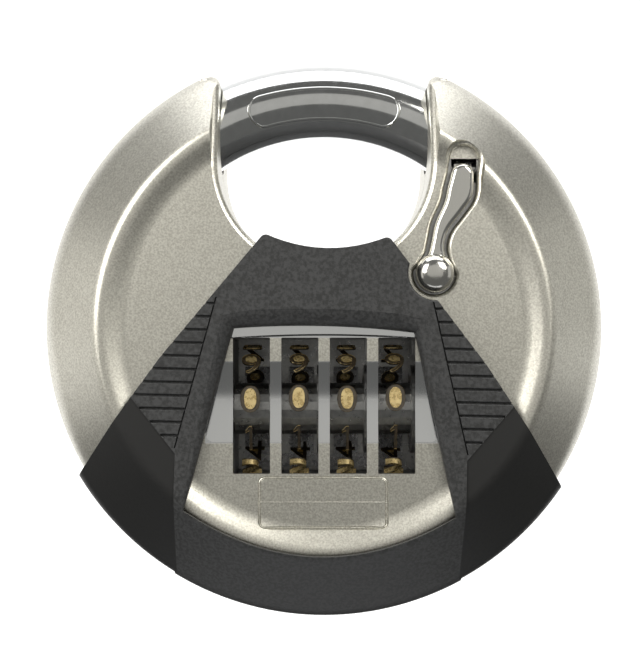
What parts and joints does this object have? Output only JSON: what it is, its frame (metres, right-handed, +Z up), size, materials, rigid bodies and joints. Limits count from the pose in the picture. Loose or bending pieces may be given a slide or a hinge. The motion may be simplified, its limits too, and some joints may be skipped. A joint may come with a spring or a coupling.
{
  "type": "combination padlock",
  "caption": "Round disc padlock with a turning shackle across a throat, a row of code dials in a dark bumper's window and a curved release lever.",
  "frame": {"origin": "on the shackle's turning axis, at the flat rear face of the rear bumper", "axes": "+X to the right of the dials, +Z up towards the shackle, +Y out of the rear face; the front with the dials faces -Y"},
  "size_m": [0.07, 0.0252, 0.0694],
  "materials": {
    "casing_steel": "bead-blasted satin stainless steel, polished in the dial trough",
    "bumper_plastic": "fine-textured dark grey moulding with ribbed sides",
    "shackle_chrome": "polished",
    "dial_brass": "antiqued, with dark filled digits",
    "lever_nickel": "polished nickel",
    "body_zinc": "die-cast zinc",
    "plain_steel": "turned and stamped steel",
    "spring_steel": "spring wire",
    "guide_nylon": "natural nylon"
  },
  "bodies": {
    "casing": {"front_shell": "casing_steel", "rear_shell": "casing_steel", "front_bumper": "bumper_plastic", "rear_bumper": "bumper_plastic", "shackle_guide_front": "guide_nylon", "shackle_guide_rear": "guide_nylon", "end_guide_front": "guide_nylon", "end_guide_rear": "guide_nylon", "lock_body": "body_zinc", "cover_plate": "plain_steel", "cover_screw_1": "plain_steel", "cover_screw_2": "plain_steel", "cover_screw_3": "plain_steel", "dial_axle": "plain_steel", "detent_spring": "spring_steel", "bar_spring_left": "spring_steel", "bar_spring_right": "spring_steel", "bolt_spring": "spring_steel", "lever_bracket": "plain_steel", "lever_pin": "plain_steel", "lever_spring": "spring_steel"},
    "shackle": {"shackle": "shackle_chrome"},
    "dial_1": {"dial_wheel_1": "dial_brass", "code_sleeve_1": "plain_steel"},
    "dial_2": {"dial_wheel_2": "dial_brass", "code_sleeve_2": "plain_steel"},
    "dial_3": {"dial_wheel_3": "dial_brass", "code_sleeve_3": "plain_steel"},
    "dial_4": {"dial_wheel_4": "dial_brass", "code_sleeve_4": "plain_steel"},
    "lever": {"release_lever": "lever_nickel"},
    "bar": {"blocking_bar": "plain_steel", "drive_slide": "plain_steel"},
    "bolt": {"locking_bolt": "plain_steel"}
  },
  "joints": [
    {"name": "shackle_turn", "type": "hinge", "parent": "casing", "child": "shackle", "pos_m": [0, -0.0124, 0], "axis": [0, 1, 0], "range_deg": [0, 74]},
    {"name": "dial_1_turn", "type": "hinge", "parent": "casing", "child": "dial_1", "pos_m": [-0.00895, -0.0149, -0.01017], "axis": [1, 0, 0], "continuous": true},
    {"name": "dial_2_turn", "type": "hinge", "parent": "casing", "child": "dial_2", "pos_m": [-0.00309, -0.0149, -0.01017], "axis": [1, 0, 0], "continuous": true},
    {"name": "dial_3_turn", "type": "hinge", "parent": "casing", "child": "dial_3", "pos_m": [0.00279, -0.0149, -0.01017], "axis": [1, 0, 0], "continuous": true},
    {"name": "dial_4_turn", "type": "hinge", "parent": "casing", "child": "dial_4", "pos_m": [0.00865, -0.0149, -0.01017], "axis": [1, 0, 0], "continuous": true},
    {"name": "lever_swing", "type": "hinge", "parent": "casing", "child": "lever", "pos_m": [0.0164, -0.0204, 0.0193], "axis": [-1, 0, 0], "range_deg": [0, 22.05], "stiffness_Nm_per_rad": 0.012, "springref_deg": -28.65, "deforming": ["lever_spring"]},
    {"name": "bar_slide", "type": "slide", "parent": "casing", "child": "bar", "axis": [0, 0, -1], "range_m": [0, 0.0009], "deforming": ["bar_spring_left", "bar_spring_right"]},
    {"name": "bolt_slide", "type": "slide", "parent": "casing", "child": "bolt", "axis": [-1, 0, 0], "range_m": [0, 0.00121], "deforming": ["bolt_spring"]}
  ],
  "couplings": [
    {"joint": "lever_swing", "follows": "bar_slide", "rad_per_m": 426.6},
    {"joint": "bolt_slide", "follows": "bar_slide", "ratio": 1.3333}
  ]
}
